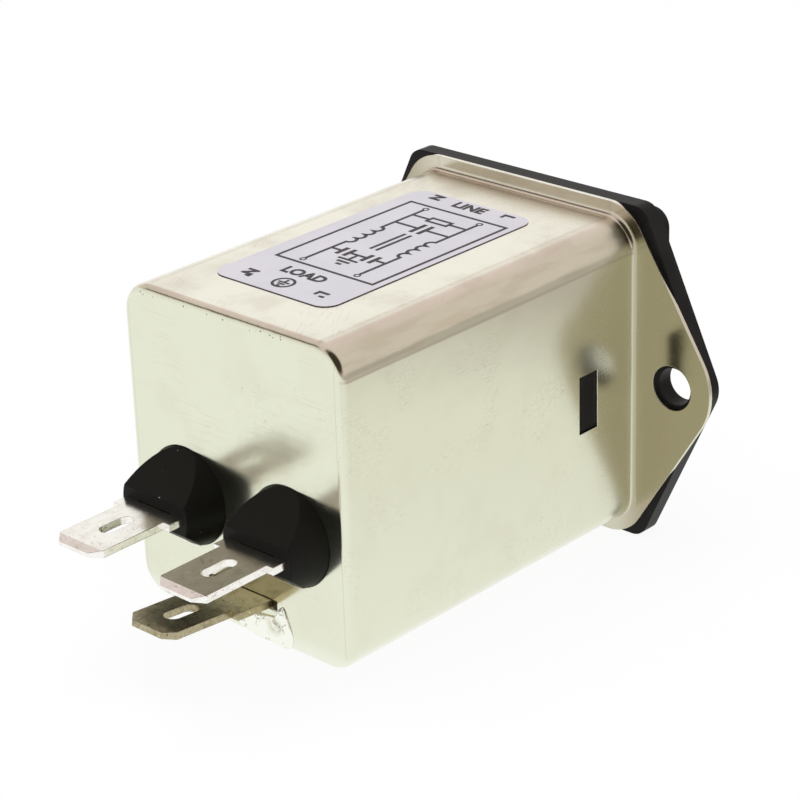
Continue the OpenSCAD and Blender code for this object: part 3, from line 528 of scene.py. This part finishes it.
# %% Finish of the solder
def solder():
    finish = Finish("solder", metallic=1.0)
    folds = finish.noise(1.1, 4.0, 0.6)
    cracks = (folds - 0.5).abs().between(0.014, 0.0) * finish.noise(1.7, 1.0, shift=5.0).between(0.5, 0.6)
    stain = finish.spot((solder_mid.x - 1.2, can_end, solder_mid.z + 0.7), (1.6, 4.0, 1.5))
    pits = finish.specks(0.5, 0.25, 0.1) * 0.7
    tint = (stain * folds.between(0.3, 0.55)).blend((0.95, 0.965, 0.87), (0.6, 0.6, 0.42))
    finish.set("Base Color", (cracks * 0.8 + pits).min(1.0).blend(tint, (0.2, 0.19, 0.12)))
    finish.set("Roughness", 0.2 + folds * 0.12)
    finish.relief(folds * 0.05 - cracks * 0.05 + finish.noise(0.3, 3.0) * 0.006)
    return finish


solder_run(solder().material)

# %% [markdown]
# ## The label
#
# A rating label is a polyester film with a satin face. The film is 0.1 mm
# thick, and its cut edge is coloured near black. Its print is
# modelled, not painted: thin solid letters and lines on the film stay crisp
# from any distance. The maker's print isn't copied. Generic terminal marks are
# kept, and the frame holds a circuit diagram of such a filter.

# %% Film and ink
def label_film():
    finish = Finish("label_film", specular_ior_level=0.35)
    face = finish.z.between(label_high.z - 0.05, label_high.z - 0.02)
    cloud = finish.noise(5.0, 3.0)
    paper = cloud.between(0.3, 0.7).blend((0.62, 0.59, 0.635), (0.66, 0.63, 0.67))
    finish.set("Base Color", face.blend((0.03, 0.025, 0.025), paper))
    finish.set("Roughness", 0.42 + cloud * 0.08)
    finish.relief(finish.noise(0.5, 2.0) * 0.004 + cloud * 0.02)
    return finish


def ink():
    finish = Finish("label_ink", roughness=0.5, specular_ior_level=0.2)
    worn = finish.noise(0.25, 3.0)
    finish.set("Base Color", worn.between(0.4, 0.85).blend((0.035, 0.03, 0.033), (0.09, 0.08, 0.088)))
    finish.relief(worn * 0.002)
    return finish


label_film().on("rating_label")
ink_material = ink().material
INK_HEIGHT = 0.02

# %% [markdown]
# Lines of print are flat ribbons: a list of points gets a left and a right
# side, mitred at each corner, and a little thickness. One function does this
# for the frame, the circles, the coils and the plates alike.

# %% Ribbons of ink


def ribbon(points, width, closed=False):
    """Points and faces of a flat strip along points given in millimetres on the label."""
    count = len(points)
    line = [Vector(p) for p in points]
    left, right = [], []
    for i, here in enumerate(line):
        before = line[(i - 1) % count] if closed or i > 0 else None
        after = line[(i + 1) % count] if closed or i < count - 1 else None
        arrive = (here - before).normalized() if before is not None else (after - here).normalized()
        leave = (after - here).normalized() if after is not None else arrive
        mitre = Vector((-(arrive.y + leave.y), arrive.x + leave.x)).normalized()
        reach = width / 2 / max(0.4, mitre.dot(Vector((-arrive.y, arrive.x))))
        left.append(here + mitre * reach)
        right.append(here - mitre * reach)
    corners_low = [Vector((p.x, p.y, label_high.z)) * MM for p in left + right]
    corners_high = [p + Vector((0, 0, INK_HEIGHT * MM)) for p in corners_low]
    faces = []
    top = 2 * count
    for i in range(count if closed else count - 1):
        j = (i + 1) % count
        faces += [(i, j, count + j, count + i), (top + i, top + count + i, top + count + j, top + j)]
        faces += [(i, top + i, top + j, j), (count + i, count + j, top + count + j, top + count + i)]
    if not closed:
        end = count - 1
        faces += [(0, count, top + count, top), (end, top + end, top + count + end, count + end)]
    return corners_low + corners_high, faces


def print_ribbons(name, strips):
    """One piece of print from several strips, each given as (points, width, closed)."""
    points, faces = [], []
    for strip in strips:
        new_points, new_faces = ribbon(*strip)
        faces += [tuple(len(points) + v for v in face) for face in new_faces]
        points += new_points
    mesh_piece(name, points, faces, ink_material)
    print(name, "has", len(strips), "strips")


def ring(x, y, radius, steps=28):
    return [(x + radius * math.cos(2 * math.pi * k / steps), y + radius * math.sin(2 * math.pi * k / steps))
            for k in range(steps)]


# %% [markdown]
# The diagram reads from the mains side at the flange to the load side at the
# tabs: two rails with a winding in each, a film capacitor and a discharge
# resistor across them, and a capacitor from each rail to earth.

# %% Frame and circuit diagram
FRAME_LINE, THIN, BOLD = 0.34, 0.36, 0.5
FRAME_HALF, FRAME_START, FRAME_STOP = 6.55, 3.55, 23.5
MIDDLE_SHARE = 0.4656
mid_x = label_low.x + (label_high.x - label_low.x) * MIDDLE_SHARE
frame_x = (mid_x - FRAME_HALF, mid_x + FRAME_HALF)
frame_y = (label_low.y + FRAME_START, label_low.y + FRAME_STOP)
RAIL = 3.7
rail_ends = (frame_y[0] + 1.3, frame_y[1] - 1.3)


def diagram():
    strips = [([(frame_x[0], frame_y[0]), (frame_x[1], frame_y[0]), (frame_x[1], frame_y[1]),
                (frame_x[0], frame_y[1])], FRAME_LINE, True)]
    resistor_y, film_y, coil_y, earth_y = (frame_y[0] + d for d in (2.9, 5.6, 7.6, 15.0))
    coil_r, turns = 0.66, 4
    coil_end = coil_y + 2 * coil_r * turns
    for side in (-1, 1):
        rail = mid_x + side * RAIL
        halves = [(n, math.pi * t) for n in range(turns) for t in (0, 0.15, 0.3, 0.5, 0.7, 0.85)]
        coil = [
            (rail - side * coil_r * math.sin(a), coil_y + coil_r * (2 * n + 1 - math.cos(a)))
            for n, a in halves
        ]
        path = [(rail, rail_ends[0])] + coil + [(rail, coil_end), (rail, rail_ends[1])]
        strips.append((path, THIN, False))
        strips.append((ring(rail, rail_ends[0] - 0.42, 0.3, 16), 0.18, True))
        strips.append((ring(rail, rail_ends[1] + 0.42, 0.3, 16), 0.18, True))
        inner = rail - side * THIN / 2
        strips.append(([(inner, resistor_y), (mid_x + side * 1.45, resistor_y)], THIN, False))
        for across, gap, half in ((film_y, 0.5, 1.25), (earth_y, 2.2, 0.95)):
            strips.append(([(inner, across), (mid_x + side * (gap + BOLD / 2), across)], THIN, False))
            plate = mid_x + side * gap
            strips.append(([(plate, across - half), (plate, across + half)], BOLD, False))
        plate = mid_x + side * 1.2
        strips.append(([(plate, earth_y - 0.95), (plate, earth_y + 0.95)], BOLD, False))
        wire = [(plate - side * BOLD / 2, earth_y), (mid_x + side * THIN / 2, earth_y)]
        strips.append((wire, THIN, False))
        strips.append(([(mid_x + side * 0.4, coil_y), (mid_x + side * 0.4, coil_end)], THIN, False))
    box = [(mid_x + u * 1.32, resistor_y + v * 0.5) for u, v in ((-1, -1), (1, -1), (1, 1), (-1, 1))]
    strips.append((box, THIN, True))
    strips += earth_sign(mid_x, earth_y - THIN / 2, 1.7, 1.3, THIN, 0.68)
    print_ribbons("label_diagram", strips)


def earth_sign(x, y, stem, half, width, step):
    """A stem along +Y that ends in three bars, each shorter than the one before."""
    strips = [([(x, y), (x, y + stem - width / 2)], width, False)]
    for n, share in enumerate((1.0, 0.64, 0.28)):
        bar_y = y + stem + n * step
        strips.append(([(x - half * share, bar_y), (x + half * share, bar_y)], width, False))
    return strips


diagram()

# %% [markdown]
# The circle with an earth sign near the tabs is the usual mark of the
# protective earth.

# %% Earth mark
earth_x, earth_y = mid_x + 0.65, label_low.y + 28.45
print_ribbons("label_earth_mark", [(ring(earth_x, earth_y, 1.12), 0.3, True)]
              + earth_sign(earth_x, earth_y - 0.78, 0.72, 0.72, 0.28, 0.42))

# %% [markdown]
# Letters come from Blender's built-in font, so the script needs no font file.
# A text object is made, fattened a little and turned into a mesh, because a
# mesh exports everywhere. Its own axes are then laid on the label: one along
# the line of writing, one towards the tops of the letters.

# %% Letters


def print_text(name, words, centre, along, upward, height, weight=0.06):
    """Text round a centre in millimetres, written along one axis with its tops along the other."""
    text = bpy.data.curves.new(name, "FONT")
    text.body = words
    text.size = height * 1.37
    text.offset = weight * height
    text.align_x = "CENTER"
    text.align_y = "CENTER"
    text.extrude = INK_HEIGHT / 2
    text.resolution_u = 3
    holder = bpy.data.objects.new(name, text)
    bpy.context.scene.collection.objects.link(holder)
    bpy.context.view_layer.update()
    mesh = bpy.data.meshes.new_from_object(holder)
    bpy.data.objects.remove(holder)
    axes = Matrix((Vector(along), Vector(upward), Vector((0, 0, 1)))).transposed().to_4x4()
    place = Matrix.Translation(Vector((*centre, label_high.z + INK_HEIGHT / 2)))
    mesh.transform(Matrix.Scale(MM, 4) @ place @ axes)
    weld = bmesh.new()
    weld.from_mesh(mesh)
    bmesh.ops.remove_doubles(weld, verts=weld.verts, dist=0.0005 * MM)
    weld.to_mesh(mesh)
    weld.free()
    mesh.materials.clear()
    mesh.materials.append(ink_material)
    piece = bpy.data.objects.new(name, mesh)
    bpy.context.scene.collection.objects.link(piece)
    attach(piece, "root")
    print(name, "has", len(mesh.polygons), "faces")


towards_line, towards_flange, towards_tabs = (-1, 0, 0), (0, -1, 0), (0, 1, 0)
mains_y, load_y, marks_y = (label_low.y + d for d in (1.4, 25.7, 28.5))
print_text("label_line", "LINE", (mid_x + 0.35, mains_y), towards_line, towards_flange, 1.5)
print_text("label_load", "LOAD", (mid_x + 0.55, load_y), towards_line, towards_flange, 1.5)
for name, words, x, y in (
    ("label_l_mains", "L", mid_x - 4.5, mains_y - 0.45),
    ("label_n_mains", "N", mid_x + 5.2, mains_y - 0.4),
    ("label_l_load", "L'", mid_x - 4.3, marks_y - 0.1),
    ("label_n_load", "N'", mid_x + 5.4, marks_y),
):
    print_text(name, words, (x, y), towards_tabs, towards_line, 1.35, 0.08)

# %% [markdown]
# ## Inside the can
#
# The can hides its parts, but the model is also opened and taken apart on
# screen. Each inner part therefore has its own finish: green solder mask over
# copper, a lacquered ring core, enamelled copper, moulded and dipped
# capacitors, and sleeved leads.

# %% Inner parts


def coated(name, colour, second, grain, depth, **constants):
    """A coated surface whose colour wanders between two tones, with a relief of that grain."""
    finish = Finish(name, **constants)
    cloud = finish.noise(2.2, 3.0)
    finish.set("Base Color", cloud.between(0.3, 0.7).blend(colour, second))
    finish.set("Roughness", 0.32 + cloud * 0.14)
    finish.relief(finish.noise(grain, 3.0) * depth + cloud * 0.01, edge=0.12)
    return finish


def board_laminate():
    finish = Finish("board_laminate")
    tracks = finish.noise((2.4, 50.0, 2.4), 1.0).between(0.52, 0.55)
    rim = finish.z.abs().max(finish.x.abs()).between(12.6, 13.2)
    mask = tracks.blend((0.02, 0.11, 0.035), (0.05, 0.2, 0.06))
    finish.set("Base Color", (rim * 0.25).blend(mask, (0.4, 0.42, 0.2)))
    finish.set("Roughness", 0.22 + finish.noise(0.4, 2.0) * 0.15)
    finish.relief(tracks * 0.03 + finish.noise(0.5, 2.0) * 0.004, edge=0.05)
    return finish


BANDS = ((0.1, 0.04, 0.02), (0.01, 0.01, 0.01), (0.6, 0.42, 0.03), (0.45, 0.28, 0.06))


def resistor_lacquer():
    finish = Finish("resistor_lacquer")
    low, high = corners("discharge_resistor")
    body = (finish.x - (low.x + high.x) / 2).abs().between(0.42, 0.4)
    colour = (0.55, 0.44, 0.26)
    length_start = liner_low.y + 4.4
    for n, band in enumerate(BANDS):
        stripe = finish.line(finish.y, length_start + 1.2 + n * 1.2, 0.28)
        colour = stripe.between(0.3, 0.5).blend(colour, band)
    finish.set("Base Color", colour)
    finish.set("Roughness", 0.3 + body * 0.05)
    finish.relief(finish.noise(0.5, 2.0) * 0.01)
    return finish


board_laminate().on("circuit_board")
resistor_lacquer().on("discharge_resistor")
coated("ferrite_lacquer", (0.07, 0.13, 0.1), (0.1, 0.17, 0.13), 0.5, 0.03).on("choke_core")
coated("film_capacitor_box", (0.55, 0.4, 0.07), (0.62, 0.46, 0.1), 0.3, 0.006).on("x_capacitor")
coated("disc_lacquer", (0.03, 0.13, 0.36), (0.05, 0.18, 0.44), 0.8, 0.03).on(
    "line_y_capacitor", "neutral_y_capacitor"
)
coated("brown_sleeve", (0.13, 0.055, 0.025), (0.17, 0.075, 0.035), 0.4, 0.01).on("line_lead")
coated("blue_sleeve", (0.02, 0.08, 0.32), (0.03, 0.11, 0.4), 0.4, 0.01).on("neutral_lead")
coated("liner_film", (0.66, 0.58, 0.38), (0.74, 0.66, 0.45), 0.25, 0.008).on("insulating_liner")
copper = {"metallic": 1.0, "coat_weight": 0.6}
coated("enamelled_copper", (0.62, 0.22, 0.08), (0.72, 0.3, 0.12), 0.4, 0.004, **copper).on(
    "line_winding", "neutral_winding"
)

# %% [markdown]
# ## Floor and studio
#
# The part is shown lying on a white sweep. A metal part is only as good as the
# room it mirrors, so the room is planned for its faces: white paper below for
# the side and the end wall, a bright wall behind for the top, a low bright wall
# on the right, a dimmer, warmer room elsewhere, and two dark patches, one
# above and one in front. The camera itself sees plain white. Two shaders do
# this without any extra lamp: Light Path tells a camera ray from a mirror ray.

# %% Floor
FLOOR_SIZE = 4.0
bpy.ops.mesh.primitive_plane_add(size=FLOOR_SIZE, location=(0, 0.02, flange_low.z * MM))
floor = bpy.context.object
floor.name = "floor"


def light_path(tree):
    """Signals for camera rays, and for rays that mirrors and glass send out."""
    camera_ray, glossy, through = (
        add_node(tree, "ShaderNodeLightPath", out=name)
        for name in ("Is Camera Ray", "Is Glossy Ray", "Is Transmission Ray")
    )
    return camera_ray, glossy.max(through)


def floor_finish():
    finish = Finish("floor_paper", base_color=(0.97, 0.97, 0.97), roughness=1.0, specular_ior_level=0.0)
    beside = finish.x * -0.75 + finish.y * -0.66
    paper = beside.between(-15.0, 55.0).blend((1.0, 1.0, 1.0), (0.91, 0.89, 0.86))
    paper = beside.between(58.0, 105.0).blend(paper, (0.52, 0.46, 0.43))
    card = finish.spot((-62.0, 82.0, flange_low.z), (34.0, 34.0, 34.0))
    paper = (card * 0.4).blend(paper, (0.3, 0.25, 0.2))
    camera_ray, mirror_ray = light_path(finish.tree)
    glow = finish.add("ShaderNodeEmission", None, {"Color": camera_ray.blend(paper, (1, 1, 1))})
    share = camera_ray * 0.92 + mirror_ray * 0.99
    matt = Signal(finish.tree, finish.shader.outputs[0])
    mix = finish.add("ShaderNodeMixShader", None, {0: share, 1: matt, 2: glow})
    finish.tree.links.new(mix.socket, finish.tree.nodes["Material Output"].inputs[0])
    floor.data.materials.append(finish.material)


floor_finish()

# %% World


def studio_world():
    world = bpy.data.worlds.new("studio")
    bpy.context.scene.world = world
    world.use_nodes = True
    tree = world.node_tree
    direction = add_node(tree, "ShaderNodeTexCoord", out="Generated")
    z = add_node(tree, "ShaderNodeSeparateXYZ", None, {0: direction}, 2)

    def towards(aim):
        settings, inputs = {"operation": "DOT_PRODUCT"}, {0: direction, 1: Vector(aim).normalized()}
        return add_node(tree, "ShaderNodeVectorMath", settings, inputs, "Value")

    room = towards((0.69, -0.73, 0)).between(0.7, 0.9).blend((0.73, 0.63, 0.6), (0.97, 0.965, 0.94))
    low_right = towards((0.69, 0.73, 0)).between(0.3, 0.7) * z.between(0.44, 0.24)
    room = low_right.blend(room, (0.95, 0.94, 0.93))
    room = towards((0.62, 0.53, 0.57)).between(0.97, 0.993).blend(room, (0.12, 0.1, 0.08))
    room = towards((-0.55, 0.5, 0.67)).between(0.68, 0.86).blend(room, (0.04, 0.03, 0.02))
    camera_ray, mirror_ray = light_path(tree)
    colour = mirror_ray.blend((0.6, 0.61, 0.62), room)
    fill(tree, tree.nodes["Background"].inputs["Color"], camera_ray.blend(colour, (1, 1, 1)))


studio_world()

# %% [markdown]
# Two large, soft lamps give the label, the mouldings and the floor their
# shading. They are kept out of mirror rays, so that they leave no hot spots in
# the can's corners.

# %% Lamps


def soft_box(name, place, size, power):
    lamp = bpy.data.lights.new(name, "AREA")
    lamp.shape = "RECTANGLE"
    lamp.size, lamp.size_y = size
    lamp.energy = power
    holder = bpy.data.objects.new(name, lamp)
    bpy.context.scene.collection.objects.link(holder)
    holder.location = place
    aim = Vector((0, can_end * MM / 2, 0)) - Vector(place)
    holder.rotation_euler = aim.to_track_quat("-Z", "Y").to_euler()
    holder.visible_glossy = False
    print(name, power, "W")


soft_box("overhead", (0.1, 0.1, 0.7), (0.5, 0.5), 2.4)
soft_box("front_left", (-0.6, 0.3, 0.35), (0.4, 0.4), 0.9)

# %% [markdown]
# ## Camera
#
# A long lens from in front of the tabs, turned towards the line side. It looks
# slightly down, as one looks at a small part on a bench.

# %% Camera
AZIMUTH, ELEVATION, ROLL = (math.radians(a) for a in (133.31, 23.92, -1.88))
DISTANCE = 0.2722
TARGET = Vector((-0.0003, 0.0201, 0.0002))


def aim_camera():
    level_away = Vector((math.cos(AZIMUTH), math.sin(AZIMUTH), 0))
    away = level_away * math.cos(ELEVATION) + Vector((0, 0, math.sin(ELEVATION)))
    level = (-away).cross(Vector((0, 0, 1))).normalized()
    right = math.cos(ROLL) * level + math.sin(ROLL) * level.cross(-away)
    up = right.cross(-away)
    camera = bpy.data.objects.new("camera", bpy.data.cameras.new("camera"))
    bpy.context.scene.collection.objects.link(camera)
    turn = Matrix((right, up, away)).transposed().to_4x4()
    camera.matrix_world = Matrix.Translation(TARGET + DISTANCE * away) @ turn
    camera.data.sensor_width = 36
    camera.data.lens = 118.9
    camera.data.clip_start = 0.01
    bpy.context.scene.camera = camera


aim_camera()

# %% View transform
bpy.context.scene.view_settings.view_transform = "Standard"
